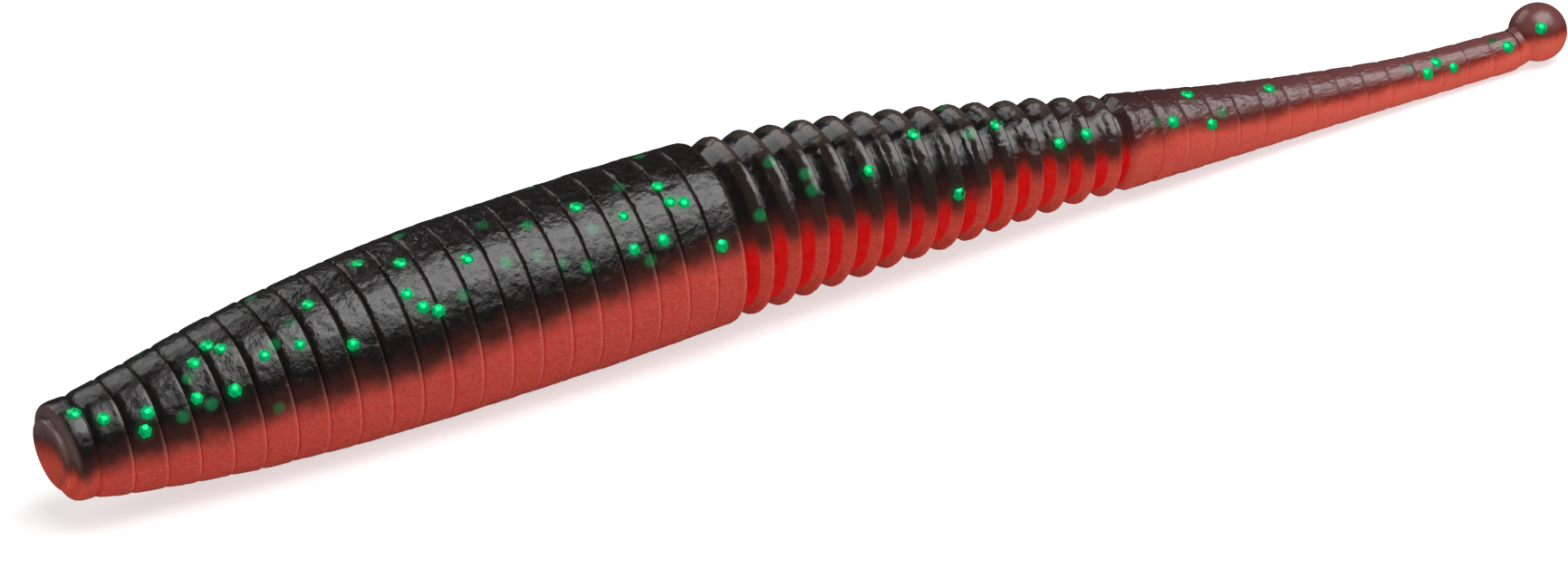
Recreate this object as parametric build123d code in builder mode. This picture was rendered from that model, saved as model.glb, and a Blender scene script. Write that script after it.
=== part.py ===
from build123d import *
import math
import os

os.makedirs("parts", exist_ok=True)

# A soft plastic worm, lying belly down along X with its blunt nose at -X and its ball tip at +X.
# The moulding has two shots: a dark back laminate on top of a red belly laminate, with hexagonal
# glitter cast in. It flexes at its ring creases, so each length between two flexing creases is a
# body of its own, turned about the worm's centre line.
# Stations are millimetres along the worm from the nose face. Heights are millimetres above the
# surface that it lies on. Clock angles run from the top of the back, 0, to the -Y side, 90.

# Driving dimensions
overall_length = 101.6
ring_pitch = 1.895
nose_length = 1.75
front_rings = 21
ribs = 14
collar_length = 1.6 * ring_pitch
tail_rings = 14
ball_diameter = 3.7
ball_centre_height = 1.95
ball_seam_share = -0.15
neck_radius = 1.05

# Depths of the creases and of the grooves between ribs
front_crease = 0.18
tail_crease = 0.10
rib_groove = 0.70

# A rib's unit, as shares of the ring pitch from the sharp tail-side edge of the rib ahead of it
groove_wall = 0.07
groove_middle = 0.26
groove_end = 0.45
rib_shoulder = 0.58
rib_crest = 0.80
shoulder_drop = 0.18
crest_droop = 0.05

# The collar that starts the tail, as shares of the ring pitch from the last rib's edge
collar_joint = 0.18
collar_groove_end = 0.30
collar_shoulder = 0.60

# Nose: a low round pad with a slightly dished face, on the front of a short end ring
dish_radius = 1.45
dish_depth = 0.10
pad_radius = 1.90
pad_foot_radius = 2.05
pad_height = 0.32
end_ring_radius = 2.50
end_ring_setback = 0.42

# How two bodies meet: a hair of clearance on the centre line, opening towards the skin by half of
# the bend, so that the crease closes at the joint's limit
centre_gap = 0.06
spare_angle = 0.4
front_bend = 6.0
rib_bend = 9.0
tail_bend = 14.0

# Reach of the cutting outlines, beyond the widest radius, and slack when stations are compared
tool_radius = 8.0
slack = 0.01

# Glitter
flake_across_corners = 0.90
flake_thickness = 0.08
flake_depth = 0.28
end_clearance = 0.95


def ring_line(count):
    """Station of the crease or rib edge after so many rings of the front and the ribs."""
    return nose_length + count * ring_pitch


last_rib_edge = ring_line(front_rings + ribs)
collar_end = last_rib_edge + collar_length
tail_end = collar_end + tail_rings * ring_pitch
ball_station = overall_length - ball_diameter / 2


def tail_line(count):
    """Station of the crease after so many rings of the tail."""
    return collar_end + count * ring_pitch


# Outside radius at a few stations, over the crests of the rings
girth = [
    (0.0, 2.65),
    (ring_line(0), 3.07),
    (ring_line(1), 3.42),
    (ring_line(3), 4.07),
    (ring_line(5), 4.63),
    (ring_line(8), 5.21),
    (ring_line(11), 5.56),
    (ring_line(15), 5.69),
    (ring_line(19), 5.64),
    (ring_line(22), 5.41),
    (ring_line(25), 5.02),
    (ring_line(28), 4.52),
    (ring_line(31), 3.89),
    (last_rib_edge, 3.07),
    (collar_end, 2.82),
    (tail_line(3), 2.30),
    (tail_line(6), 1.86),
    (tail_line(10), 1.43),
    (tail_end, 1.28),
]

# How far the round outline is pressed flat on the surface. Negative values are clear of it.
pressed_flat = [
    (0.0, -1.72),
    (ring_line(1), -0.99),
    (ring_line(4), -0.30),
    (ring_line(8), 0.16),
    (ring_line(13), 0.22),
    (ring_line(18), 0.09),
    (ring_line(23), -0.29),
    (ring_line(28), -0.43),
    (ring_line(33), -0.50),
    (tail_line(1), -0.30),
    (tail_line(9), -0.12),
    (tail_end, 0.0),
]

# Height of the seam between the laminates above the centre line, as a share of the radius
seam_share = [
    (0.0, 0.04),
    (ring_line(6), 0.07),
    (ring_line(10), 0.18),
    (ring_line(17), 0.25),
    (ring_line(23), 0.30),
    (ring_line(30), 0.38),
    (last_rib_edge, 0.43),
    (collar_end, 0.55),
    (tail_line(6), 0.62),
    (tail_end, 0.58),
]


def smooth_value(points, station):
    """Value at a station on a smooth curve through the points."""
    last = len(points) - 2
    here = sum(1 for place, value in points[1:-1] if station >= place)
    here = min(here, last)
    (x1, y1), (x2, y2) = points[here], points[here + 1]
    x0, y0 = points[max(here - 1, 0)]
    x3, y3 = points[min(here + 2, last + 1)]
    width = x2 - x1
    slope_in = (y2 - y0) / (x2 - x0)
    slope_out = (y3 - y1) / (x3 - x1)
    t = (station - x1) / width
    value = (2 * t**3 - 3 * t**2 + 1) * y1 + (3 * t**2 - 2 * t**3) * y2
    return value + width * ((t**3 - 2 * t**2 + t) * slope_in + (t**3 - t**2) * slope_out)


def radius_at(station):
    return smooth_value(girth, station)


def centre_height(station):
    return radius_at(station) - smooth_value(pressed_flat, station)


def centre_point(station):
    """Point of the worm's centre line, in the part's frame."""
    return Vector(station - overall_length / 2, 0, centre_height(station))


# Names of the bodies, nose to tail, with the stations where they end and how they bend there
rib_joint_offset = groove_middle * ring_pitch
body_ends = [
    ("nose", ring_line(5), front_bend),
    ("front_1", ring_line(9), front_bend),
    ("front_2", ring_line(13), front_bend),
    ("front_3", ring_line(17), front_bend),
    ("front_4", ring_line(21) + rib_joint_offset, rib_bend),
    ("ribs_1", ring_line(24) + rib_joint_offset, rib_bend),
    ("ribs_2", ring_line(27) + rib_joint_offset, rib_bend),
    ("ribs_3", ring_line(30) + rib_joint_offset, rib_bend),
    ("ribs_4", ring_line(33) + rib_joint_offset, rib_bend),
    ("ribs_5", last_rib_edge + collar_joint * ring_pitch, tail_bend),
    ("tail_1", tail_line(1), tail_bend),
    ("tail_2", tail_line(3), tail_bend),
    ("tail_3", tail_line(5), tail_bend),
    ("tail_4", tail_line(7), tail_bend),
    ("tail_5", tail_line(9), tail_bend),
    ("tail_6", tail_line(12), tail_bend),
    ("tail_7", tail_end, 0.0),
]
body_names = [end[0] for end in body_ends]
tail_end_centre = centre_point(tail_end)
ball_centre = Vector(ball_station - overall_length / 2, 0, ball_centre_height)
neck = ball_centre - tail_end_centre

# Where the glitter lies, as (place, clock angle). A place on the front and the ribs is the number
# of rings from the nose's first crease. A place on the tail is the number of rings from the end of
# the collar.
front_flakes = [
    (-0.2, 25), (0.5, 45), (1.5, 70), (1.75, 55), (2.6, 74), (2.8, 63), (3.25, 58), (3.25, 40),
    (3.6, 30), (3.6, 66), (3.5, -25), (4.25, 67), (4.5, 57), (4.2, 20), (4.5, 28), (5.5, 84),
    (5.6, 46), (6.0, 41), (6.7, 48), (6.75, 31), (7.5, 23), (8.2, 60), (9.5, 6), (10.3, 42),
    (10.6, 20), (10.6, 53), (11.0, 58), (11.9, 54), (12.5, 34), (13.5, 44), (13.5, 13), (14.5, 47),
    (14.7, 25), (15.2, 55), (15.9, 61), (16.4, 23), (16.5, 41), (17.5, 60), (17.6, 39), (17.9, 69),
    (18.0, 18), (18.5, 60), (19.1, 26), (19.2, 39), (19.6, 42), (20.3, 74),
]
rib_flakes = [
    (21.8, 63), (22.8, 30), (23.8, 44), (23.8, 56), (25.8, 52), (27.8, 29), (28.8, 84), (29.8, 35),
    (29.8, -15), (30.8, 30), (32.8, 58), (33.8, 53),
]
tail_flakes = [
    (-0.1, 52), (0.5, 55), (1.5, 14), (1.9, 68), (2.4, 54), (4.5, 24), (9.8, 40), (10.4, 66),
    (10.7, 31), (11.0, 53), (11.4, 68), (13.2, 22), (13.6, 52),
]
far_side_flakes = [
    (0.6, -40), (1.7, -66), (2.5, -20), (3.3, -58), (4.4, -44), (5.7, -72), (6.3, -12), (7.3, -50),
    (8.3, -30), (9.6, -64), (10.4, -42), (11.2, -8), (11.7, -70), (12.4, -26), (13.6, -54),
    (14.4, -36), (15.3, -74), (15.8, -16), (16.4, -60), (17.6, -30), (18.3, -50), (19.4, -10),
    (19.8, -68), (20.4, -40), (22.8, -52), (24.8, -24), (25.8, -64), (26.8, -40), (28.8, -58),
    (31.8, -34), (32.8, -62),
]
far_tail_flakes = [(0.4, -46), (2.2, -30), (3.6, -60), (6.0, -36), (8.0, -52), (10.3, -44), (12.6, -58)]


def flake_stations():
    """Every flake as (station, clock angle)."""
    along_front = front_flakes + rib_flakes + far_side_flakes
    front = [(ring_line(place), clock) for place, clock in along_front]
    tail = [(tail_line(place), clock) for place, clock in tail_flakes + far_tail_flakes]
    return front + tail


def body_axis(name):
    """Start and end of a body on the centre line, as stations."""
    place = body_names.index(name)
    start = body_ends[place - 1][1] if place else 0.0
    return start, body_ends[place][1]


def body_direction(name):
    start, end = body_axis(name)
    return (centre_point(end) - centre_point(start)).normalized()


def face_angle(place):
    """Angle from square of the two faces at the joint after body number place."""
    bend = body_ends[place][2]
    kink = body_direction(body_names[place]).get_angle(body_direction(body_names[place + 1]))
    return (bend + kink) / 2 + spare_angle


def nose_outline():
    """The nose, from the centre of its face to the first crease."""
    end_ring_edge = (end_ring_setback, end_ring_radius)
    Polyline(
        (dish_depth, 0),
        (dish_depth, dish_radius),
        (0, pad_radius),
        (pad_height, pad_foot_radius),
        end_ring_edge,
    )
    middle = nose_length / 2
    crease = (nose_length, radius_at(nose_length) - front_crease)
    ThreePointArc(end_ring_edge, (middle, radius_at(middle)), crease)


def barrel_outline(start, end, crease):
    """One ring: a gentle barrel between two creases."""
    middle = (start + end) / 2
    first = (start, radius_at(start) - crease)
    last = (end, radius_at(end) - crease)
    ThreePointArc(first, (middle, radius_at(middle)), last)


def groove_after(edge, edge_point, floor_share):
    """From a rib's or ring's tail-side edge down into the deep groove, to a share of the pitch."""
    floor_radius = radius_at(edge) - rib_groove
    Polyline(
        edge_point,
        (edge + groove_wall * ring_pitch, floor_radius),
        (edge + floor_share * ring_pitch, floor_radius),
    )


def rib_outline(edge, floor_share):
    """One rib, from the middle of the groove ahead of it to a share of the groove behind it.

    The edge is the station of the sharp edge of the rib ahead."""
    floor_radius = radius_at(edge) - rib_groove
    groove = (edge + groove_end * ring_pitch, floor_radius)
    shoulder_station = edge + rib_shoulder * ring_pitch
    shoulder = (shoulder_station, radius_at(shoulder_station) - shoulder_drop)
    crest_station = edge + rib_crest * ring_pitch
    crest = (crest_station, radius_at(crest_station))
    own_edge = edge + ring_pitch
    edge_point = (own_edge, radius_at(own_edge) - crest_droop)
    Line((edge + groove_middle * ring_pitch, floor_radius), groove)
    ThreePointArc(groove, shoulder, crest)
    Line(crest, edge_point)
    groove_after(own_edge, edge_point, floor_share)


def collar_outline():
    """The plain collar where the tail begins, from the groove ahead of it to its crease."""
    floor_radius = radius_at(last_rib_edge) - rib_groove
    groove = (last_rib_edge + collar_groove_end * ring_pitch, floor_radius)
    shoulder_station = last_rib_edge + collar_shoulder * ring_pitch
    shoulder = (shoulder_station, radius_at(shoulder_station))
    Polyline((last_rib_edge + collar_joint * ring_pitch, floor_radius), groove, shoulder)
    middle = (shoulder_station + collar_end) / 2
    last = (collar_end, radius_at(collar_end) - tail_crease)
    ThreePointArc(shoulder, (middle, radius_at(middle)), last)


def outside_outline(name):
    """The outside of one body, from its start to its end, unit by unit."""
    start, end = body_axis(name)
    first_line, last_line = start - slack, end + slack
    if name == "nose":
        nose_outline()
    for count in range(front_rings):
        if first_line <= ring_line(count) and ring_line(count + 1) <= last_line:
            barrel_outline(ring_line(count), ring_line(count + 1), front_crease)
    if name == "front_4":
        edge = ring_line(front_rings)
        groove_after(edge, (edge, radius_at(edge) - front_crease), groove_middle)
    for count in range(front_rings, front_rings + ribs):
        if first_line <= ring_line(count) + rib_joint_offset and ring_line(count + 1) <= last_line:
            is_last = count == front_rings + ribs - 1
            rib_outline(ring_line(count), collar_joint if is_last else groove_middle)
    if name == "tail_1":
        collar_outline()
    for count in range(tail_rings):
        if first_line <= tail_line(count) and tail_line(count + 1) <= last_line:
            barrel_outline(tail_line(count), tail_line(count + 1), tail_crease)


def relief(station, side, angle):
    """Cut a body's end face back from the joint, to a cone that opens towards the skin."""
    near = station + side * centre_gap / 2
    far = near + side * tool_radius * math.tan(math.radians(angle))
    behind = station - side * tool_radius
    Polygon(
        (behind, -1),
        (near, -1),
        (near, 0),
        (far, tool_radius),
        (behind, tool_radius),
        align=None,
        mode=Mode.SUBTRACT,
    )


def body_plane(name):
    """Sketch plane through a body's centre line: x is the station, y is the radius."""
    start, end = body_axis(name)
    direction = body_direction(name)
    origin = centre_point(start) - direction * start
    return Plane(origin=origin, x_dir=direction, z_dir=(0, -1, 0))


def turned_body(name):
    """One body of the worm, turned about its centre line and flattened where it rests."""
    start, end = body_axis(name)
    place = body_names.index(name)
    plane = body_plane(name)
    axis_start = start if place else dish_depth
    with BuildPart() as body:
        with BuildSketch(plane):
            with BuildLine() as outline:
                outside_outline(name)
                ends = outline.vertices().sort_by(Axis.X)
                Polyline((ends[-1].X, ends[-1].Y), (ends[-1].X, 0), (axis_start, 0))
                if place:
                    Line((start, 0), (start, ends[0].Y))
            make_face()
            if place:
                relief(start, 1, face_angle(place - 1))
            if name != body_names[-1]:
                relief(end, -1, face_angle(place))
        revolve(axis=Axis(plane.origin, plane.x_dir))
        if name == body_names[-1]:
            with BuildSketch(Plane(origin=tail_end_centre, z_dir=neck)):
                Circle(neck_radius)
            extrude(amount=neck.length)
            with Locations(tail_end_centre):
                Sphere(neck_radius)
            with Locations(ball_centre):
                Sphere(ball_diameter / 2)
        split(bisect_by=Plane.XY, keep=Keep.TOP)
    return body.part


def seam_point(station):
    """Point of the seam between the laminates, above the centre line."""
    height = smooth_value(seam_share, station) * radius_at(station)
    return centre_point(station) + Vector(0, 0, height)


def seam_plane(name):
    """Plane of the seam within one body, sloped from its start to its end."""
    start, end = body_axis(name)
    last = seam_point(end)
    if name == body_names[-1]:
        last = ball_centre + Vector(0, 0, ball_seam_share * ball_diameter / 2)
    along = last - seam_point(start)
    return Plane(origin=seam_point(start), x_dir=along, z_dir=along.cross(Vector(0, 1, 0)))


def flake_plane(name, station, clock):
    """Plane of one flake's outer face, square to the radius at its clock angle."""
    plane = body_plane(name)
    angle = math.radians(clock)
    outwards = plane.y_dir * math.cos(angle) + plane.z_dir * math.sin(angle)
    reach = radius_at(station) - flake_depth
    centre = plane.origin + plane.x_dir * station + outwards * reach
    return Plane(origin=centre, x_dir=plane.x_dir, z_dir=outwards)


def flakes_of(name):
    """The flakes that lie within a body, kept clear of its relieved ends."""
    start, end = body_axis(name)
    low = start + end_clearance if name != body_names[0] else start
    high = end - end_clearance if name != body_names[-1] else end
    within = [flake for flake in flake_stations() if start <= flake[0] < end]
    return [(min(max(station, low), high), clock) for station, clock in within]


# The pieces of each body: its part of the back, its part of the belly and its glitter
for name in body_names:
    body_part = turned_body(name)

    with BuildPart() as back:
        add(body_part)
        split(bisect_by=seam_plane(name), keep=Keep.TOP)
    back.part.label = f"{name}_back"
    export_step(back.part, f"parts/{name}_back.step")

    with BuildPart() as belly:
        add(body_part)
        split(bisect_by=seam_plane(name), keep=Keep.BOTTOM)
    belly.part.label = f"{name}_belly"
    export_step(belly.part, f"parts/{name}_belly.step")

    with BuildPart() as glitter:
        for station, clock in flakes_of(name):
            with BuildSketch(flake_plane(name, station, clock)):
                RegularPolygon(radius=flake_across_corners / 2, side_count=6)
            extrude(amount=-flake_thickness)
    glitter.part.label = f"{name}_glitter"
    export_step(glitter.part, f"parts/{name}_glitter.step")
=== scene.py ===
import math

import bpy
import numpy as np
from mathutils import Matrix, Vector


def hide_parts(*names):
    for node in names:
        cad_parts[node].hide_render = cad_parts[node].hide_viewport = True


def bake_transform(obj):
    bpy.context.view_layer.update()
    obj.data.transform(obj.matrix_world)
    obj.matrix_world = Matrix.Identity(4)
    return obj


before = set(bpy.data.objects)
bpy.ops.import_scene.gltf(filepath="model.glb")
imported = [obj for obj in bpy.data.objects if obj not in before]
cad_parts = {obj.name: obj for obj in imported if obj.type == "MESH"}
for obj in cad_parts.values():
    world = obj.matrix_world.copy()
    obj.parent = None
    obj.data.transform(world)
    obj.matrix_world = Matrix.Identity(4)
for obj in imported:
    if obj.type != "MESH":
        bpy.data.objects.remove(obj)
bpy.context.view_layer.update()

# A soft plastic worm. The CAD holds its bodies, joints and glitter; this script lays a continuous
# skin over them, one span for each joint, and gives it the look of two-shot plastisol.
# The worm's lengths are millimetres until they reach a mesh; the stage's are metres.
# Stations run from the nose face to the ball. Clock angles run round the worm, with 0 on top.
MM = 0.001

# Driving dimensions, as in the CAD
OVERALL_LENGTH = 101.6
RING_PITCH = 1.895
NOSE_LENGTH = 1.75
FRONT_RINGS = 21
RIBS = 14
TAIL_RINGS = 14
COLLAR_LENGTH = 1.6 * RING_PITCH
BALL_RADIUS = 1.85
BALL_STATION = OVERALL_LENGTH - BALL_RADIUS
BALL_CENTRE_HEIGHT = 1.95
BALL_SEAM_LEVEL = 0.26
BALL_SEAM_SLOPE = -0.05
NECK_RADIUS = 1.22
FRONT_CREASE = 0.18
WORN_CREASE_LOSS = 0.08
TAIL_CREASE = 0.11
RING_SHOULDER = 0.26
WORN_SHOULDER_LOSS = 0.15
GROOVE_MIDDLE = 0.26
FIRST_RIB_STEP = 0.05
STEP = 0.25


def ring_line(count):
    return NOSE_LENGTH + count * RING_PITCH


LAST_RIB_EDGE = ring_line(FRONT_RINGS + RIBS)
COLLAR_END = LAST_RIB_EDGE + COLLAR_LENGTH


def tail_line(count):
    return COLLAR_END + count * RING_PITCH


TAIL_END = tail_line(TAIL_RINGS)

# Outside radius, the amount pressed flat below, and the height of the seam above the centre line
# as a share of the radius, each against station
GIRTH = [
    (0.0, 2.65), (ring_line(0), 3.07), (ring_line(1), 3.42), (ring_line(3), 4.07),
    (ring_line(5), 4.63), (ring_line(8), 5.21), (ring_line(11), 5.56), (ring_line(15), 5.69),
    (ring_line(19), 5.64), (ring_line(22), 5.41), (ring_line(25), 5.02), (ring_line(28), 4.52),
    (ring_line(31), 3.89), (LAST_RIB_EDGE, 3.07), (COLLAR_END, 2.82), (tail_line(3), 2.30),
    (tail_line(6), 1.86), (tail_line(10), 1.43), (TAIL_END, 1.28),
]
PRESSED_FLAT = [
    (0.0, -1.72), (ring_line(1), -0.99), (ring_line(4), -0.30), (ring_line(8), 0.16),
    (ring_line(13), 0.22), (ring_line(18), 0.09), (ring_line(23), -0.29), (ring_line(28), -0.43),
    (ring_line(33), -0.50), (tail_line(1), -0.30), (tail_line(9), -0.12), (TAIL_END, 0.0),
]
SEAM_SHARE = [
    (0.0, 0.16), (ring_line(4), 0.14), (ring_line(8), 0.10), (ring_line(11), 0.13),
    (ring_line(17), 0.20), (ring_line(22), 0.29), (ring_line(25), 0.22), (ring_line(29), 0.18),
    (ring_line(31), 0.38), (LAST_RIB_EDGE, 0.43), (COLLAR_END, 0.50), (tail_line(3), 0.42),
    (tail_line(6), 0.37), (tail_line(10), 0.44), (TAIL_END, 0.52),
]


def smooth_value(points, station):
    """Values at stations on a smooth curve through the points."""
    place = np.array([p[0] for p in points])
    value = np.array([p[1] for p in points])
    s = np.clip(np.asarray(station, float), place[0], place[-1])
    here = np.clip(np.searchsorted(place, s, side="right") - 1, 0, len(points) - 2)
    before, after = np.maximum(here - 1, 0), np.minimum(here + 2, len(points) - 1)
    width = place[here + 1] - place[here]
    slope_in = (value[here + 1] - value[before]) / (place[here + 1] - place[before])
    slope_out = (value[after] - value[here]) / (place[after] - place[here])
    t = (s - place[here]) / width
    eased = (2 * t**3 - 3 * t**2 + 1) * value[here] + (3 * t**2 - 2 * t**3) * value[here + 1]
    return eased + width * ((t**3 - 2 * t**2 + t) * slope_in + (t**3 - t**2) * slope_out)


def radius_at(station):
    return smooth_value(GIRTH, station)


def centre_height(station):
    return radius_at(station) - smooth_value(PRESSED_FLAT, station)


def smoothstep(low, high, x):
    t = np.clip((x - low) / (high - low), 0, 1)
    return t * t * (3 - 2 * t)


def lattice_noise(u, v, seed, turns=None):
    """Smooth noise from -1 to 1 at arrays of coordinates; v repeats after turns lattice steps."""
    rng = np.random.default_rng(seed)
    table = rng.uniform(-1, 1, (512, 256))
    iu, iv = np.floor(u).astype(int), np.floor(v).astype(int)
    fu, fv = u - iu, v - iv
    fu, fv = fu * fu * (3 - 2 * fu), fv * fv * (3 - 2 * fv)

    def corner(du, dv):
        column = (iv + dv) % turns if turns else (iv + dv)
        return table[(iu + du) % 512, column % 256]

    low = corner(0, 0) * (1 - fv) + corner(0, 1) * fv
    high = corner(1, 0) * (1 - fv) + corner(1, 1) * fv
    return low * (1 - fu) + high * fu


# The rows of the skin, nose to ball. Each is (station, radius, groove, edge, kind): groove is how
#  deep in a groove or crease it is (shade is painted by it), edge is 1 on a rib's or ring's sharp
#  tail-side edge (a highlight is painted by it).
RING_SHARES = [
    0, 0.012, 0.03, 0.05, 0.08, 0.115, 0.16, 0.21, 0.28, 0.36, 0.45, 0.54, 0.63, 0.72, 0.80, 0.87,
    0.92, 0.955, 0.98, 0.992,
]
TAIL_SHARES = [
    0, 0.015, 0.04, 0.08, 0.13, 0.19, 0.27, 0.37, 0.48, 0.59, 0.70, 0.80, 0.88, 0.94, 0.975, 0.99,
]
RIB_SHARES = [
    0.0, 0.015, 0.035, 0.055, 0.08, 0.12, 0.17, 0.22, 0.26, 0.31, 0.36, 0.40, 0.43, 0.46, 0.49,
    0.52, 0.55, 0.58, 0.62, 0.66, 0.70, 0.75, 0.80, 0.85, 0.90, 0.94, 0.965, 0.985,
]
# How far the outside lies below a rib's crest, at shares of the ring pitch
RIB_PROFILE = [
    (0.0, 0.09), (0.02, 0.26), (0.05, 0.56), (0.08, 0.72), (0.105, 0.77), (0.14, 0.74),
    (0.20, 0.70), (0.30, 0.61), (0.40, 0.51), (0.50, 0.40), (0.60, 0.285), (0.70, 0.17),
    (0.78, 0.085), (0.85, 0.03), (0.91, 0.0), (0.96, 0.01), (1.0, 0.09),
]
# The same under the worm, where each rib is a narrow foot on a shallower floor
FOOT_PROFILE = [
    (0.0, 0.22), (0.03, 0.38), (0.06, 0.44), (0.15, 0.45), (0.68, 0.45), (0.74, 0.36),
    (0.79, 0.10), (0.83, 0.0), (0.92, 0.0), (0.97, 0.06), (1.0, 0.22),
]
# The nose as (station, radius): the dish, the rim of the face and the side behind it
NOSE_ROWS = [
    (0.16, 0.03), (0.16, 0.4), (0.155, 0.8), (0.145, 1.05), (0.125, 1.25), (0.095, 1.42),
    (0.06, 1.56), (0.025, 1.70), (0.0, 1.83), (-0.01, 1.94), (0.01, 2.04), (0.06, 2.11),
    (0.13, 2.14), (0.21, 2.13), (0.29, 2.11), (0.36, 2.12), (0.405, 2.18), (0.42, 2.30),
    (0.425, 2.45), (0.44, 2.60), (0.47, 2.72), (0.52, 2.81), (0.60, 2.88), (0.72, 2.93),
    (0.87, 2.96), (1.05, 2.98), (1.20, 2.99), (1.35, 3.0), (1.50, 2.995), (1.60, 2.98),
    (1.67, 2.95), (1.715, 2.925),
]
NOSE_FACE_ROWS = 14
FACE_FORWARD, FACE_TILT = 0.13, 0.09
FACE_SEAM_HEIGHT = 0.85
NOSE, FRONT, RIB, COLLAR, TAIL, NECK, BALL = range(7)


def ridge(share, width):
    """1 at share 0, fading to almost nothing at twice the width."""
    return math.exp(-(share / width) ** 2)


def crease_mark(share):
    return ridge(min(share, 1 - share), 0.035)


def far_edge_mark(share):
    return ridge(share - 0.95, 0.04)


def ring_drop(share, depth, shoulder):
    """How far a ring's outside lies below its crest: a rounded shoulder, then a sharp far edge."""
    front = np.clip(1 - share / shoulder, 0, 1) ** 2.2
    back = np.clip((share - 0.90) / 0.10, 0, 1) ** 1.6
    return depth * (front + 0.35 * back - 0.35 * front * back)


rows = []
for s, r in NOSE_ROWS:
    # The valley is the groove just behind the rim of the face
    valley = 0.55 * ridge(s - 0.38, 0.10) if r > 2.0 and s < 0.6 else 0.0
    dish = 0.35 * (1 - smoothstep(0.9, 1.6, r))
    rows.append((s, r, max(valley, dish), 0.0, NOSE))
for count in range(FRONT_RINGS):
    worn = float(smoothstep(6, 11, count))
    depth = FRONT_CREASE - WORN_CREASE_LOSS * worn
    shoulder = RING_SHOULDER - WORN_SHOULDER_LOSS * worn
    for share in RING_SHARES:
        s = ring_line(count + share)
        r = radius_at(s) - ring_drop(share, depth, shoulder)
        rows.append((s, r, crease_mark(share), far_edge_mark(share), FRONT))
for count in range(FRONT_RINGS, FRONT_RINGS + RIBS):
    for share in RIB_SHARES:
        s = ring_line(count + share)
        drop = float(smooth_value(RIB_PROFILE, share))
        if count == FRONT_RINGS and share == 0:
            drop = FIRST_RIB_STEP
        groove = smoothstep(0.0, 0.05, share) * (1 - smoothstep(0.50, 0.64, share))
        edge = ridge(share - 0.985, 0.03) + ridge(share, 0.02)
        rows.append((s, radius_at(s) - drop, groove, edge, RIB))
# The collar starts in the last groove and ends in a faint crease
COLLAR_SHARES = [
    0, 0.02, 0.04, 0.07, 0.11, 0.18, 0.26, 0.32, 0.38, 0.44, 0.50, 0.56, 0.62, 0.70, 0.80, 0.92,
    1.05, 1.18, 1.30, 1.40, 1.48, 1.54, 1.58,
]
COLLAR_PROFILE_SHARES = [0, 0.03, 0.08, 0.18, 0.30, 0.44, 0.56, 0.70, 1.40, 1.6]
COLLAR_PROFILE_DROPS = [0.06, 0.40, 0.64, 0.70, 0.66, 0.36, 0.12, 0.0, 0.0, 0.09]
for share in COLLAR_SHARES:
    s = LAST_RIB_EDGE + share * RING_PITCH
    drop = np.interp(share, COLLAR_PROFILE_SHARES, COLLAR_PROFILE_DROPS)
    rows.append((s, radius_at(s) - drop, smoothstep(0.08, 0.62, drop), ridge(share, 0.02), COLLAR))
for count in range(TAIL_RINGS):
    for share in TAIL_SHARES:
        s = tail_line(count + share)
        r = radius_at(s) - ring_drop(share, TAIL_CREASE, RING_SHOULDER)
        rows.append((s, r, 0.8 * crease_mark(share), far_edge_mark(share), TAIL))

station = np.array([r[0] for r in rows])
row_radius = np.array([r[1] for r in rows])
row_groove = np.array([r[2] for r in rows])
row_edge = np.array([r[3] for r in rows])
row_kind = np.array([r[4] for r in rows])
row_x = station - OVERALL_LENGTH / 2
row_z = centre_height(station)
row_pitch = np.arctan((centre_height(station + STEP) - centre_height(station - STEP)) / (2 * STEP))
row_pitch[station < STEP] = row_pitch[station >= STEP][0]

# The neck and the ball carry on from the last ring, along the line to the ball's centre
tail_centre = np.array([TAIL_END - OVERALL_LENGTH / 2, centre_height(TAIL_END)])
ball_centre = np.array([BALL_STATION - OVERALL_LENGTH / 2, BALL_CENTRE_HEIGHT])
neck = ball_centre - tail_centre
neck_length = math.hypot(*neck)
neck_pitch = math.atan2(neck[1], neck[0])
neck_direction = neck / neck_length
entry_angle = math.asin(NECK_RADIUS / BALL_RADIUS)
visible_neck = neck_length - BALL_RADIUS * math.cos(entry_angle)
NECK_SHARES = [0, 0.08, 0.2, 0.35, 0.5, 0.65, 0.78, 0.88, 0.95]
BALL_ROWS = 40
POLE_GAP = 0.03
extra = []
for t in NECK_SHARES:
    centre = tail_centre + neck_direction * visible_neck * t
    pitch = row_pitch[-1] + (neck_pitch - row_pitch[-1]) * smoothstep(0, 0.6, t)
    groove = 0.5 * ridge(t, 0.12) + 0.4 * smoothstep(0.7, 1, t)
    extra.append((*centre, pitch, NECK_RADIUS - 0.05 * (1 - t) ** 4, groove, NECK))
for angle in np.linspace(entry_angle, math.pi - POLE_GAP, BALL_ROWS):
    centre = ball_centre - neck_direction * BALL_RADIUS * math.cos(angle)
    groove = 0.4 * ridge(angle - entry_angle, 0.12)
    extra.append((*centre, neck_pitch, BALL_RADIUS * math.sin(angle), groove, BALL))
extra = np.array(extra)
row_x = np.concatenate([row_x, extra[:, 0]])
row_z = np.concatenate([row_z, extra[:, 1]])
row_pitch = np.concatenate([row_pitch, extra[:, 2]])
row_radius = np.concatenate([row_radius, extra[:, 3]])
row_groove = np.concatenate([row_groove, extra[:, 4]])
row_edge = np.concatenate([row_edge, np.zeros(len(extra))])
row_kind = np.concatenate([row_kind, extra[:, 5].astype(int)])
along = np.hypot(np.diff(row_x), np.diff(row_z))
row_station = np.concatenate([station, station[-1] + np.cumsum(along[len(station) - 1:])])

# Height of the seam: wavy, different on the two sides, and with a step from rib to rib
BACK_COLUMNS, BELLY_COLUMNS = 100, 96
SLOW_WAVE, QUICK_WAVE, RIB_WAVE, BALL_WAVE = 0.20, 0.07, 0.34, 0.05


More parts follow.
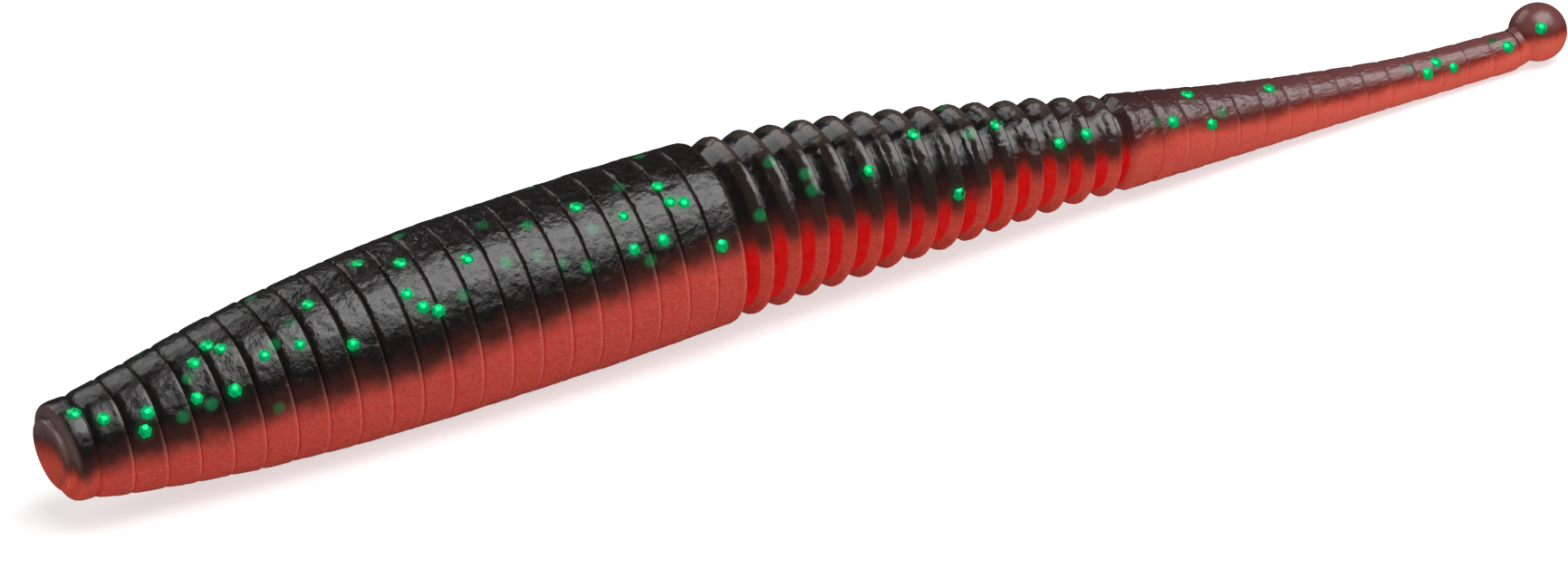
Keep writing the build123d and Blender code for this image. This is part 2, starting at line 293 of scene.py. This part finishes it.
def seam_angles(side_seed):
    """Clock angle of the seam at every row, on one side."""
    share = smooth_value(SEAM_SHARE, np.minimum(row_station, TAIL_END))
    slow = lattice_noise(row_station / 4.1, 0 * row_station, side_seed)
    quick = lattice_noise(row_station / 1.3, 0 * row_station, side_seed + 1)
    ring = np.floor((row_station - NOSE_LENGTH) / RING_PITCH + 0.4)
    jump = lattice_noise(ring * 1.37, 0 * ring + 0.5, side_seed + 2)
    wave = SLOW_WAVE * slow + QUICK_WAVE * quick + RIB_WAVE * jump * (row_kind == RIB)
    wave *= np.clip(row_radius / 3.0, 0.15, 1)
    skin = np.where(row_kind <= TAIL, radius_at(np.minimum(row_station, TAIL_END)), row_radius)
    cosine = share + wave / skin
    on_ball = row_kind >= NECK
    rise = BALL_SEAM_LEVEL * BALL_RADIUS + ball_centre[1] - row_z
    rise = rise + BALL_SEAM_SLOPE * (row_x - ball_centre[0])
    upright = np.cos(row_pitch) + BALL_SEAM_SLOPE * np.sin(row_pitch)
    level = rise / upright / row_radius + BALL_WAVE * quick
    entering = smoothstep(tail_centre[0], ball_centre[0] - 0.6, row_x)
    cosine = np.where(on_ball, cosine * (1 - entering) + level * entering, cosine)
    cosine = cosine * smoothstep(0.5, 3.5, row_station)
    return np.arccos(np.clip(cosine, -0.97, 0.97))


near_seam, far_seam = seam_angles(11), seam_angles(31)
back_share = np.linspace(0, 1, BACK_COLUMNS)
belly_share = np.linspace(0, 1, BELLY_COLUMNS)[1:-1]
back_clock = near_seam[:, None] - (near_seam + far_seam)[:, None] * back_share
belly_clock = -far_seam[:, None] - (2 * math.pi - near_seam - far_seam)[:, None] * belly_share
clock = np.concatenate([back_clock, belly_clock], 1)
COLUMNS = clock.shape[1]
wrapped = (clock + math.pi) % (2 * math.pi) - math.pi
angle_down = np.abs(wrapped)


def skin_point(x, z, pitch, radius, angle):
    """Points at clock angles round rows of the centre line, resting on the surface below."""
    up = np.cos(angle) * radius
    px = x - np.sin(pitch) * up
    py = -np.sin(angle) * radius
    pz = z + np.cos(pitch) * up
    face = 1 - smoothstep(0.4, NOSE_LENGTH, x + OVERALL_LENGTH / 2)
    px = px - face * (FACE_FORWARD + FACE_TILT * py)
    return np.stack([px, py, np.maximum(pz, 0)], -1)


# Fine relief. Soft dents and the fainter grain of the mould are (height, length, steps round, seed)
DENTS = [(0.024, 1.15, 30, 51), (0.017, 0.46, 64, 52), (0.008, 0.21, 128, 53)]
PIT_LENGTH, PIT_STEPS, PIT_DEPTH = 0.62, 52, 0.03
NOSE_PART = (3, 16)
LINE_ANGLE, LINE_HEIGHT, LINE_WIDTH = math.radians(9), 0.045, 0.09
RIB_SWAY = 0.05
FEET_FROM, FEET_FULL = math.radians(114), math.radians(142)
TAIL_CREASE_FILL, FRONT_CREASE_FILL = 0.3, 0.42
turn = clock / (2 * math.pi)
grid_station = row_station[:, None] + 0 * clock
soft = np.clip(row_radius / 3.0, 0.1, 1)[:, None]
relief = np.zeros_like(clock)
for height, length, steps, seed in DENTS:
    relief += height * lattice_noise(grid_station / length, turn * steps, seed, steps)
pits = lattice_noise(grid_station / PIT_LENGTH, turn * PIT_STEPS, 54, PIT_STEPS)
relief -= PIT_DEPTH * smoothstep(0.72, 0.95, pits)
relief *= soft * np.where(row_kind >= NECK, 0.6, 1.0)[:, None]
relief *= ((1 - 0.6 * row_groove) * (1 - 0.35 * (1 - smoothstep(*NOSE_PART, row_station))))[:, None]
# A raised parting line runs along the back, from behind the nose to the first ribs
line_clock = LINE_ANGLE + 0.02 * lattice_noise(row_station / 9.0, 0 * row_station, 61)
arc = (clock - line_clock[:, None]) * row_radius[:, None]
line_reach = smoothstep(6, 16, row_station) * (1 - smoothstep(38, 43, row_station))
relief += LINE_HEIGHT * np.exp(-(arc / LINE_WIDTH) ** 2) * line_reach[:, None]
# Each rib is slightly uneven round the worm
grid_ring = np.floor((grid_station - NOSE_LENGTH) / RING_PITCH)
sway = RIB_SWAY * lattice_noise(grid_ring * 1.7, turn * 9, 71, 9)
relief += sway * (row_kind == RIB)[:, None] * (1 - row_groove)[:, None]
rib_share = ((row_station - NOSE_LENGTH) / RING_PITCH) % 1
rib_drop = smooth_value(RIB_PROFILE, rib_share)
foot_gain = (rib_drop - smooth_value(FOOT_PROFILE, rib_share)) * (row_kind == RIB)
under = smoothstep(FEET_FROM, FEET_FULL, angle_down)
relief += foot_gain[:, None] * under
# The creases are shallower over the belly, and more so in the front than in the tail
ringed = (row_kind == FRONT) | (row_kind == TAIL)
row_drop = np.where(ringed, radius_at(np.minimum(row_station, TAIL_END)) - row_radius, 0)
under_seam = smoothstep(0.0, 0.15, angle_down - np.minimum(near_seam, far_seam)[:, None])
fill = np.where(row_kind == TAIL, TAIL_CREASE_FILL, FRONT_CREASE_FILL)
relief += fill[:, None] * row_drop[:, None] * under_seam
skin_radius = row_radius[:, None] + relief
surface = skin_point(row_x[:, None], row_z[:, None], row_pitch[:, None], skin_radius, clock)

# Normals of the whole skin, so that the two laminates and the spans meet without a line
down = np.gradient(surface, axis=0)
round_ = np.roll(surface, -1, 1) - np.roll(surface, 1, 1)
normals = np.cross(down, round_)
normals /= np.maximum(np.linalg.norm(normals, axis=2, keepdims=True), 1e-12)
flat = surface[:, :, 2] <= 1e-6
normals[flat] = (0, 0, -1)

# What the materials read at each point: the height above the seam, and shares of groove (painted
#  shade), sharp edge (painted highlight), tail, nose face, rib and rib top (painted sheen)
TAIL_FADE = (58, 94)
side_seam = np.where(wrapped >= 0, near_seam[:, None], far_seam[:, None])
seam_width = np.clip(row_radius / 3.6, 0.50, 1)[:, None]
above_seam = (side_seam - angle_down) * np.maximum(row_radius, 0.6)[:, None] / seam_width
across, aloft = np.sin(clock) * row_radius[:, None], np.cos(clock) * row_radius[:, None]
face_seam = aloft - FACE_SEAM_HEIGHT * (1 - (across / 2.4) ** 2)
on_face = (1 - smoothstep(0.3, 1.6, row_station))[:, None]
above_seam = above_seam * (1 - on_face) + face_seam * on_face
grid_groove = row_groove[:, None] + 0 * clock
grid_edge_highlight = row_edge[:, None] + 0 * clock
grid_tail = smoothstep(*TAIL_FADE, grid_station)
grid_face = (1 - smoothstep(0.35, 0.75, row_station))[:, None] + 0 * clock
fin = (row_kind == RIB).astype(float)[:, None] * (1 - grid_groove)
# Painted sheen: the tops of the rib crests, where the thin crest lets light through and reflects the
# lamp behind
rib_top_sheen = fin * (1 - smoothstep(0.15, 0.50, angle_down))
# How much the bump of the material is held back
nose_part = (1 - smoothstep(*NOSE_PART, row_station))[:, None] + 0 * clock
calm = np.maximum(0.75 * np.minimum(fin + grid_groove, 1), 0.6 * grid_tail)
calm = np.maximum(calm, 0.6 * nose_part)


# The centres of the CAD's glitter, island by island
def islands(mesh):
    """Vertex sets of a mesh's separate pieces, joined where corners coincide."""
    keys, parent = {}, {}
    for v in mesh.vertices:
        k = tuple(round(c * 1e6) for c in v.co)
        keys[v.index] = k
        parent.setdefault(k, k)

    def root(k):
        while parent[k] != k:
            k = parent[k]
        return k

    for e in mesh.edges:
        a, b = root(keys[e.vertices[0]]), root(keys[e.vertices[1]])
        if a != b:
            parent[b] = a
    found = {}
    for i, k in keys.items():
        found.setdefault(root(k), set()).add(k)
    return [np.array(sorted(points)) * 1e-6 for points in found.values()]


flakes = []
for name in sorted(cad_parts):
    if name.endswith("_glitter"):
        for points in islands(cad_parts[name].data):
            flakes.append(points.mean(0) / MM)
flakes.sort(key=lambda p: (round(p[0], 3), round(p[1], 3)))


def flake_place(point):
    """Station and clock angle of a point beside the centre line."""
    s = point[0] + OVERALL_LENGTH / 2
    for _ in range(4):
        slope = float((centre_height(s + STEP) - centre_height(s - STEP)) / (2 * STEP))
        lift = point[2] - float(centre_height(s))
        ahead = point[0] + OVERALL_LENGTH / 2 - s
        s += (ahead + lift * slope) / (1 + slope * slope)
    pitch = math.atan(slope)
    up = (point[2] - float(centre_height(s))) * math.cos(pitch) - ahead * math.sin(pitch)
    return s, math.atan2(-point[1], up)


# Spans: each joint has one, from the crease nearest the middle of a body to that of the next body
BODIES = ["nose"] + [f"front_{n}" for n in (1, 2, 3, 4)] + [f"ribs_{n}" for n in (1, 2, 3, 4, 5)]
BODIES += [f"tail_{n}" for n in (1, 2, 3, 4, 5, 6, 7)]
middles = [ring_line(n) for n in (2, 7, 11, 15, 19)]
middles += [ring_line(n + GROOVE_MIDDLE) for n in (23, 26, 29, 32, 34)]
middles += [tail_line(n) for n in (0, 2, 4, 6, 8, 10, 13)]


def row_at(s):
    return int(np.argmin(np.abs(row_station - s)))


def build_mesh(name, points, faces, loop_normals=None, attributes=None, smooth=None):
    """A mesh from arrays. faces is a list of index arrays, each (count, corners)."""
    mesh = bpy.data.meshes.new(name)
    mesh.vertices.add(len(points))
    mesh.vertices.foreach_set("co", (points * MM).astype(np.float32).ravel())
    indices = np.concatenate([f.ravel() for f in faces])
    sizes = np.concatenate([np.full(len(f), f.shape[1]) for f in faces])
    mesh.loops.add(len(indices))
    mesh.loops.foreach_set("vertex_index", indices.astype(np.int32))
    mesh.polygons.add(len(sizes))
    starts = np.concatenate([[0], np.cumsum(sizes)[:-1]])
    mesh.polygons.foreach_set("loop_start", starts.astype(np.int32))
    mesh.update(calc_edges=True)
    mesh.validate()
    if smooth is not None:
        mesh.polygons.foreach_set("use_smooth", smooth)
    for key, (kind, values) in (attributes or {}).items():
        layer = mesh.attributes.new(key, kind, "POINT")
        field = "vector" if kind == "FLOAT_VECTOR" else "value"
        layer.data.foreach_set(field, values.astype(np.float32).ravel())
    if loop_normals is not None:
        mesh.normals_split_custom_set(loop_normals)
    thing = bpy.data.objects.new(name, mesh)
    bpy.context.scene.collection.objects.link(thing)
    return thing


def skin_piece(name, first, last, columns, material, far_first):
    """One closed length of one laminate: its outside, the seam wall inside, and both ends."""
    count, wide = last - first + 1, len(columns)
    points = surface[first:last + 1][:, columns].reshape(-1, 3)
    outer_normals = normals[first:last + 1][:, columns].reshape(-1, 3)
    index = np.arange(count * wide).reshape(count, wide)
    a, b = index[:-1, :-1], index[1:, :-1]
    c, d = index[1:, 1:], index[:-1, 1:]
    outside = np.stack([a, b, c, d], -1).reshape(-1, 4)
    left, right = index[:, 0], index[:, -1]
    face = NOSE_FACE_ROWS if first == 0 else 0
    wall = np.stack([left[face:-1], right[face:-1], right[face + 1:], left[face + 1:]], -1)
    faces = [outside, wall]
    if face:
        corner = [right[face + 1], left[face + 1]]
        line = np.concatenate([left[:face + 1][::-1], right[:face + 1], corner])
        faces = [outside, wall[1:], line[None, :]]
    start_cap, end_cap = index[0][None, :], index[-1][::-1][None, :]
    wall_normal = np.array([[0, 0, -1.0 if not far_first else 1.0]])
    loop_normals = np.concatenate([
        outer_normals[outside.ravel()],
        np.repeat(wall_normal, sum(f.size for f in faces[1:]), 0),
        np.repeat([[-1.0, 0, 0]], start_cap.size, 0),
        np.repeat([[1.0, 0, 0]], end_cap.size, 0),
    ])
    inside_count = sum(len(f) for f in faces[1:]) + 2
    smooth = np.concatenate([np.ones(len(outside), bool), np.zeros(inside_count, bool)])
    cut = (slice(first, last + 1), columns)
    attributes = {
        "above_seam": ("FLOAT", above_seam[cut]),
        "groove": ("FLOAT", grid_groove[cut]),
        "edge": ("FLOAT", grid_edge_highlight[cut]),
        "tail": ("FLOAT", grid_tail[cut]),
        "fin": ("FLOAT", fin[cut]),
        "face": ("FLOAT", grid_face[cut]),
        "rib_top_sheen": ("FLOAT", rib_top_sheen[cut]),
        "calm": ("FLOAT", calm[cut]),
        "deep_flake": ("FLOAT", deep_flake[cut]),
        "rest": ("FLOAT_VECTOR", surface[cut]),
    }
    piece = build_mesh(name, points, faces + [start_cap, end_cap], loop_normals, attributes, smooth)
    piece.data.materials.append(material)
    return piece


# Materials
class Shader:
    """Short calls that add nodes to one material."""

    def __init__(self, name):
        self.material = bpy.data.materials.new(name)
        self.material.use_nodes = True
        self.tree = self.material.node_tree
        self.bsdf = self.tree.nodes["Principled BSDF"]

    def put(self, socket, value):
        if isinstance(value, bpy.types.NodeSocket):
            self.tree.links.new(value, socket)
        elif isinstance(value, (tuple, list)) and len(value) == 3 and socket.type == "RGBA":
            socket.default_value = (*value, 1)
        else:
            socket.default_value = value

    def attribute(self, name, output="Fac"):
        n = self.tree.nodes.new("ShaderNodeAttribute")
        n.attribute_name = name
        return n.outputs[output]

    def maths(self, operation, *values):
        n = self.tree.nodes.new("ShaderNodeMath")
        n.operation = operation
        for i, v in enumerate(values):
            self.put(n.inputs[i], v)
        return n.outputs[0]

    def span(self, value, low, high, out_low=0.0, out_high=1.0):
        n = self.tree.nodes.new("ShaderNodeMapRange")
        n.interpolation_type = "SMOOTHSTEP"
        for i, v in enumerate((value, low, high, out_low, out_high)):
            self.put(n.inputs[i], v)
        return n.outputs[0]

    def mix(self, share, first, second):
        n = self.tree.nodes.new("ShaderNodeMix")
        n.data_type = "RGBA"
        self.put(n.inputs[0], share)
        self.put(n.inputs[6], first)
        self.put(n.inputs[7], second)
        return n.outputs[2]

    def noise(self, vector, scale, detail=2.0, roughness=0.5):
        n = self.tree.nodes.new("ShaderNodeTexNoise")
        self.put(n.inputs["Vector"], vector)
        n.inputs["Scale"].default_value = scale
        n.inputs["Detail"].default_value = detail
        n.inputs["Roughness"].default_value = roughness
        return n.outputs["Fac"]

    def bump(self, height, distance, strength=1.0):
        n = self.tree.nodes.new("ShaderNodeBump")
        n.inputs["Strength"].default_value = strength
        n.inputs["Distance"].default_value = distance
        self.put(n.inputs["Height"], height)
        return n.outputs["Normal"]

    def set(self, **values):
        for key, value in values.items():
            self.put(self.bsdf.inputs[key.replace("_", " ")], value)


# Colours of the two plastics, of what shows through or on them, and of painted shade, haze, sheen
# and highlights
RED, PALE_RED = (0.36, 0.031, 0.019), (0.45, 0.052, 0.036)
# The groove red is painted shade: grooves and creases drawn deeper and more saturated, out of the
# light and free of reflected haze
TAIL_RED, GROOVE_SHADE_RED, FACE_RED = (0.53, 0.078, 0.050), (0.50, 0.0015, 0.0006), (0.56, 0.062, 0.034)
# The tail's smoke is thinner and a lighter mauve, partly its own colour and partly a painted
# reflection
BLACK, TAIL_SMOKE_AND_SHEEN = (0.0060, 0.0045, 0.0045), (0.125, 0.040, 0.040)
# Rib crests: smoke lightened by painted haze, and a beige painted sheen on their tops
RIB_HAZE_SMOKE, RIB_TOP_SHEEN_SMOKE = (0.030, 0.020, 0.017), (0.050, 0.037, 0.031)
# The nose face's smoke is thinner and lighter, partly its own colour and partly a painted reflection
FACE_SMOKE_AND_SHEEN = (0.135, 0.085, 0.078)
SEAM_BROWN, TAIL_SEAM_BROWN = (0.056, 0.012, 0.008), (0.11, 0.0085, 0.005)
DEEP_GREEN, TAIL_DEEP_GREEN = (0.004, 0.17, 0.05), (0.003, 0.018, 0.008)
# Painted highlight: the pale pink line along sharp edges
EDGE_HIGHLIGHT_PINK = (0.60, 0.26, 0.22)
BRIGHT_EMERALD, DIM_EMERALD = (0.0, 0.62, 0.17), (0.0, 0.20, 0.06)


def plastisol(name):
    """Two-shot soft plastic: a red belly, a smoky black back, the soft seam between them, and
    painted shade in grooves, painted haze and sheen, and painted highlights on edges.
    """
    m = Shader(name)
    rest = m.attribute("rest", "Vector")
    above = m.attribute("above_seam")
    groove = m.attribute("groove")
    tail = m.attribute("tail")
    fin_ = m.attribute("fin")
    cloud = m.noise(rest, 0.55, 3.0, 0.6)
    speckle = m.noise(rest, 6.0, 3.0, 0.7)
    waver = m.maths("MULTIPLY_ADD", cloud, 1.3, -0.65)
    grain = m.maths("MULTIPLY_ADD", speckle, 0.5, -0.25)
    level = m.maths("ADD", above, m.maths("ADD", waver, grain))
    smoke_low = m.maths("MULTIPLY_ADD", fin_, 0.55, level)
    black = m.span(smoke_low, -0.65, 1.40)
    brown = m.span(smoke_low, -1.60, 0.20)

    red_skin = m.mix(m.span(speckle, 0.35, 0.65), RED, PALE_RED)
    red_skin = m.mix(tail, red_skin, TAIL_RED)
    # Painted shade: the red turns deep and saturated in grooves and creases
    red = m.mix(m.span(groove, 0.35, 0.95), red_skin, GROOVE_SHADE_RED)
    red = m.mix(m.attribute("face"), red, FACE_RED)
    # The tail's smoke: thinner plastic, plus a painted reflection
    smoke = m.mix(tail, BLACK, TAIL_SMOKE_AND_SHEEN)
    # Painted haze and sheen: lighter smoke on the rib crests, beige on their tops
    smoke = m.mix(m.maths("MULTIPLY", fin_, 0.5), smoke, RIB_HAZE_SMOKE)
    smoke = m.mix(m.attribute("rib_top_sheen"), smoke, RIB_TOP_SHEEN_SMOKE)
    # The nose face's smoke: thinner plastic, plus a painted reflection
    smoke = m.mix(m.attribute("face"), smoke, FACE_SMOKE_AND_SHEEN)
    between = m.mix(tail, SEAM_BROWN, TAIL_SEAM_BROWN)
    lower = m.mix(brown, red, between)
    colour = m.mix(black, lower, smoke)
    flake = m.attribute("deep_flake")
    flake_colour = m.mix(m.maths("MULTIPLY", tail, 0.7), DEEP_GREEN, TAIL_DEEP_GREEN)
    colour = m.mix(flake, colour, flake_colour)
    # Painted highlight: a thin pale pink line along each sharp tail-side edge, faint on the black
    # and on the tail
    edge = m.maths("MULTIPLY", m.attribute("edge"), m.maths("MULTIPLY_ADD", black, -0.19, 0.21))
    edge = m.maths("MULTIPLY", edge, m.maths("MULTIPLY_ADD", tail, -0.75, 1.0))
    colour = m.mix(edge, colour, EDGE_HIGHLIGHT_PINK)

    fine = m.noise(rest, 9.0, 3.0, 0.65)
    coarse = m.noise(rest, 2.2, 2.0, 0.5)
    height = m.maths("ADD", m.maths("MULTIPLY", fine, 0.12), coarse)
    patchy = m.noise(rest, 1.6, 3.0, 0.6)
    ribbed = m.maths("ADD", fin_, groove)
    roughness = m.maths("MULTIPLY_ADD", ribbed, -0.10, m.span(patchy, 0.35, 0.65, 0.19, 0.31))
    height = m.maths("MULTIPLY", height, m.maths("SUBTRACT", 1.0, m.attribute("calm")))
    m.set(
        Base_Color=colour,
        Roughness=roughness,
        IOR=1.47,
        Normal=m.bump(height, 0.00009, 0.8),
    )
    return m.material


def film(name, colour, roughness, painted_glow):
    """Metallised film of a glitter flake, lightly crazed, with a painted glow for its glint."""
    m = Shader(name)
    rest = m.attribute("rest", "Vector")
    craze = m.noise(rest, 5.0, 2.0)
    tint = m.mix(m.span(craze, 0.35, 0.65), colour, tuple(0.55 * c for c in colour))
    m.set(
        Base_Color=tint,
        Metallic=0.75,
        Roughness=roughness,
        Emission_Color=tint,
        Emission_Strength=painted_glow,
        Normal=m.bump(craze, 0.00002, 0.6),
    )
    return m.material


plastisol_skin = plastisol("back_plastisol_skin")
# The flakes glow, a painted glint: clearly on those near the surface, faintly on the sunk ones
bright_film = film("emerald_film_bright", BRIGHT_EMERALD, 0.40, 0.38)
dim_film = film("emerald_film_under_smoke", DIM_EMERALD, 0.45, 0.05)

# Glitter: each flake follows the skin, a hair above it, or is sunk below it and shows as a dim patch
FLAKE_RADIUS = 0.45
FLAKE_LIFT = 0.024
FLAKE_SUNK = -0.22
DEEP_SHARE = 0.40
FLAKE_THICKNESS = 0.07
FLAKE_STEP = 0.04
BALL_FLAKES_FROM = 0.8
BALL_FLAKE_ANGLE, BALL_FLAKE_LEAN, BALL_FLAKE_LIFT = math.radians(58), 0.38, 0.02
PATCH_ROWS = 24
rng = np.random.default_rng(7)
placed = []
for point in flakes:
    s, angle = flake_place(point)
    depth, spin, size = rng.uniform(0, 1, 5)[:3]
    # Most of those just past the top, on the far side, lie deep
    if math.radians(-40) < angle < math.radians(-4):
        depth *= 0.35
    placed.append((s, angle, depth, spin, size))
# One more, on the ball itself
placed.append((BALL_STATION, BALL_FLAKE_ANGLE, 1.0, 0.3, 0.8))

# A deep flake shows as a patch; a bright one only tints the plastic round it
deep_flake = np.zeros_like(clock)
for s, angle, depth, spin, size in placed:
    near = slice(max(row_at(s) - PATCH_ROWS, 0), row_at(s) + PATCH_ROWS)
    gap = np.hypot(grid_station[near] - s, (wrapped[near] - angle) * row_radius[near, None])
    if depth < DEEP_SHARE:
        patch = (0.30 + 1.2 * depth) * (1 - smoothstep(0.24, 0.46, gap))
    else:
        patch = 0.16 * (1 - smoothstep(0.35, 0.75, gap))
    deep_flake[near] = np.maximum(deep_flake[near], patch)


def local_skin(s, angle):
    """Radius of the skin near a station and clock angle."""
    row = row_at(s)
    return float(skin_radius[row, np.argmin(np.abs(wrapped[row] - angle))])


def flake_prism(s, angle, spin, size, lift):
    """Top and bottom of one hexagonal flake that follows the skin; the last point is its middle."""
    reach = FLAKE_RADIUS * (0.74 + 0.24 * size)
    turns = [math.pi / 3 * (k + spin) for k in range(6)]
    spokes = [(math.cos(t), math.sin(t)) for t in turns] + [(0.0, 0.0)]
    top, bottom = [], []
    if s > TAIL_END + BALL_FLAKES_FROM:
        out = Vector((-BALL_FLAKE_LEAN, -math.sin(angle), math.cos(angle))).normalized()
        side = out.cross(Vector((1, 0, 0))).normalized()
        ahead = side.cross(out)
        centre = Vector((ball_centre[0], 0, ball_centre[1]))
        for a, b in spokes:
            way = (out + (ahead * a + side * b) * (reach / BALL_RADIUS)).normalized()
            height = BALL_RADIUS + lift + BALL_FLAKE_LIFT
            top.append(centre + way * height)
            bottom.append(centre + way * (height - FLAKE_THICKNESS))
        return np.array(top), np.array(bottom)
    s = min(s, TAIL_END - 0.5)
    middle_radius = float(radius_at(s))
    places = [(s + reach * a, angle + reach * b / middle_radius) for a, b in spokes]
    heights = [local_skin(*place) for place in places]
    for (at, turn_), height in zip(places, heights):
        height = max(height, max(heights) - FLAKE_STEP) + lift
        slope = float((centre_height(at + STEP) - centre_height(at - STEP)) / (2 * STEP))
        x, z, pitch = at - OVERALL_LENGTH / 2, float(centre_height(at)), math.atan(slope)
        for into, radius in ((top, height), (bottom, height - FLAKE_THICKNESS)):
            into.append(skin_point(x, z, pitch, radius, turn_))
    return np.array(top), np.array(bottom)


def glitter_piece(name, chosen):
    """A group of flakes, each of 14 points: six corners and a middle above, and the same below."""
    points, triangles, quads, slots, edge_slots = [], [], [], [], []
    for s, angle, depth, spin, size in chosen:
        deep = depth < DEEP_SHARE
        top, bottom = flake_prism(s, angle, spin, size, FLAKE_SUNK if deep else FLAKE_LIFT)
        base = len(points) * 14
        points.append(np.concatenate([top, bottom]))
        outward = np.dot(np.cross(top[0] - top[6], top[1] - top[6]), top[6] - bottom[6]) > 0
        for k in range(6):
            p, q = (k, (k + 1) % 6) if outward else ((k + 1) % 6, k)
            triangles += [[base + 6, base + p, base + q], [base + 13, base + 7 + q, base + 7 + p]]
            quads.append([base + q, base + p, base + 7 + p, base + 7 + q])
        slots += [int(deep)] * 12
        edge_slots += [int(deep)] * 6
    points = np.concatenate(points)
    piece = build_mesh(
        name,
        points,
        [np.array(triangles), np.array(quads)],
        attributes={"rest": ("FLOAT_VECTOR", points)},
    )
    piece.data.materials.append(bright_film)
    piece.data.materials.append(dim_film)
    piece.data.polygons.foreach_set("material_index", np.array(slots + edge_slots, np.int32))
    return piece


back_columns = np.arange(BACK_COLUMNS)
belly_columns = np.concatenate([np.arange(BACK_COLUMNS - 1, COLUMNS), [0]])
waiting = []
last_glitter = None
for k in range(len(BODIES) - 1):
    body, following = BODIES[k], BODIES[k + 1]
    at_nose, at_ball = k == 0, k == len(BODIES) - 2
    first = 0 if at_nose else row_at(middles[k])
    last = len(row_station) - 1 if at_ball else row_at(middles[k + 1])
    owners = [body, following] if at_ball else [body]
    back = skin_piece(f"{body}_back_skin", first, last, back_columns, plastisol_skin, False)
    belly = skin_piece(f"{body}_belly_skin", first, last, belly_columns, plastisol_skin, True)
    for piece, laminate in ((back, "back"), (belly, "belly")):
        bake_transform(piece)
        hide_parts(*[f"{owner}_{laminate}" for owner in owners])
    low = -math.inf if at_nose else middles[k]
    high = math.inf if at_ball else middles[k + 1]
    chosen = [f for f in placed if low <= f[0] < high]
    waiting += [f"{owner}_glitter" for owner in owners]
    if chosen:
        last_glitter = glitter_piece(f"{body}_glitter_flakes", chosen)
        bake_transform(last_glitter)
        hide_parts(*waiting)
        waiting = []
if waiting:
    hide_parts(*waiting)

# Stage: a plain pale floor, a softbox with a brighter core overhead, one behind and a low fill
FLOOR_SIZE = 4.0
FLOOR_DROP = 0.00002
FLOOR_GLOW = 0.6
WORLD_GLOW = 0.04
floor_mesh = bpy.data.meshes.new("floor")
half = FLOOR_SIZE / 2
corners = [(-half, -half, 0), (half, -half, 0), (half, half, 0), (-half, half, 0)]
floor_mesh.from_pydata(corners, [], [(0, 1, 2, 3)])
floor = bpy.data.objects.new("floor", floor_mesh)
bpy.context.scene.collection.objects.link(floor)
floor.location.z = -FLOOR_DROP
pale_floor = Shader("pale_floor")
pale_floor.set(Base_Color=(0.5, 0.5, 0.5), Roughness=0.9)
pale_floor.set(Emission_Color=(1, 1, 1), Emission_Strength=FLOOR_GLOW)
floor_mesh.materials.append(pale_floor.material)
floor.visible_glossy = False


def area_light(name, place, aim, length, depth, power):
    """A rectangular lamp whose long side lies along the worm, in metres and watts."""
    lamp = bpy.data.lights.new(name, "AREA")
    lamp.shape = "RECTANGLE"
    lamp.size, lamp.size_y, lamp.energy = length, depth, power
    thing = bpy.data.objects.new(name, lamp)
    backwards = (Vector(place) - Vector(aim)).normalized()
    across = Vector((0, 1, 0)).cross(backwards).normalized()
    upwards = backwards.cross(across)
    thing.matrix_world = Matrix((
        (across.x, upwards.x, backwards.x, place[0]),
        (across.y, upwards.y, backwards.y, place[1]),
        (across.z, upwards.z, backwards.z, place[2]),
        (0, 0, 0, 1),
    ))
    bpy.context.scene.collection.objects.link(thing)
    return thing


area_light("softbox", (0.20, -0.156, 0.386), (0.20, 0.0, 0.0), 0.56, 0.52, 2.0)
area_light("softbox_core", (0.20, -0.120, 0.390), (0.20, 0.0, 0.0), 0.50, 0.26, 1.45)
area_light("back_softbox", (-0.12, 0.33, 0.30), (-0.03, 0.0, 0.0), 0.33, 0.30, 0.6)
front_fill = area_light("front_fill", (-0.30, -0.55, 0.12), (0.0, 0.0, 0.0), 0.4, 0.3, 1.3)
front_fill.visible_glossy = False

world = bpy.data.worlds.new("studio")
world.use_nodes = True
background = world.node_tree.nodes["Background"]
background.inputs["Color"].default_value = (1, 1, 1, 1)
background.inputs["Strength"].default_value = WORLD_GLOW
bpy.context.scene.world = world
bpy.context.scene.view_settings.view_transform = "Standard"

# Camera at the photograph's viewing angle; the distance is in metres, the lens in millimetres
AZIMUTH, ELEVATION, ROLL = map(math.radians, (-24.6, 24.84, -6.51))
DISTANCE, LENS, SENSOR = 0.3746, 144.8, 36.0
TARGET = Vector((-0.0045, 0.0, 0.00084))
camera_data = bpy.data.cameras.new("camera")
camera_data.lens, camera_data.sensor_width, camera_data.sensor_fit = LENS, SENSOR, "HORIZONTAL"
camera_data.clip_start, camera_data.clip_end = 0.01, 20
camera = bpy.data.objects.new("camera", camera_data)
bpy.context.scene.collection.objects.link(camera)
backwards = Vector((
    math.sin(AZIMUTH) * math.cos(ELEVATION),
    -math.cos(AZIMUTH) * math.cos(ELEVATION),
    math.sin(ELEVATION),
))
right = Vector((0, 0, 1)).cross(backwards).normalized()
upwards = backwards.cross(right)
rolled_right = right * math.cos(ROLL) + upwards * math.sin(ROLL)
rolled_up = upwards * math.cos(ROLL) - right * math.sin(ROLL)
camera.matrix_world = Matrix((
    (rolled_right.x, rolled_up.x, backwards.x, 0),
    (rolled_right.y, rolled_up.y, backwards.y, 0),
    (rolled_right.z, rolled_up.z, backwards.z, 0),
    (0, 0, 0, 1),
))
camera.location = TARGET + backwards * DISTANCE
bpy.context.scene.camera = camera
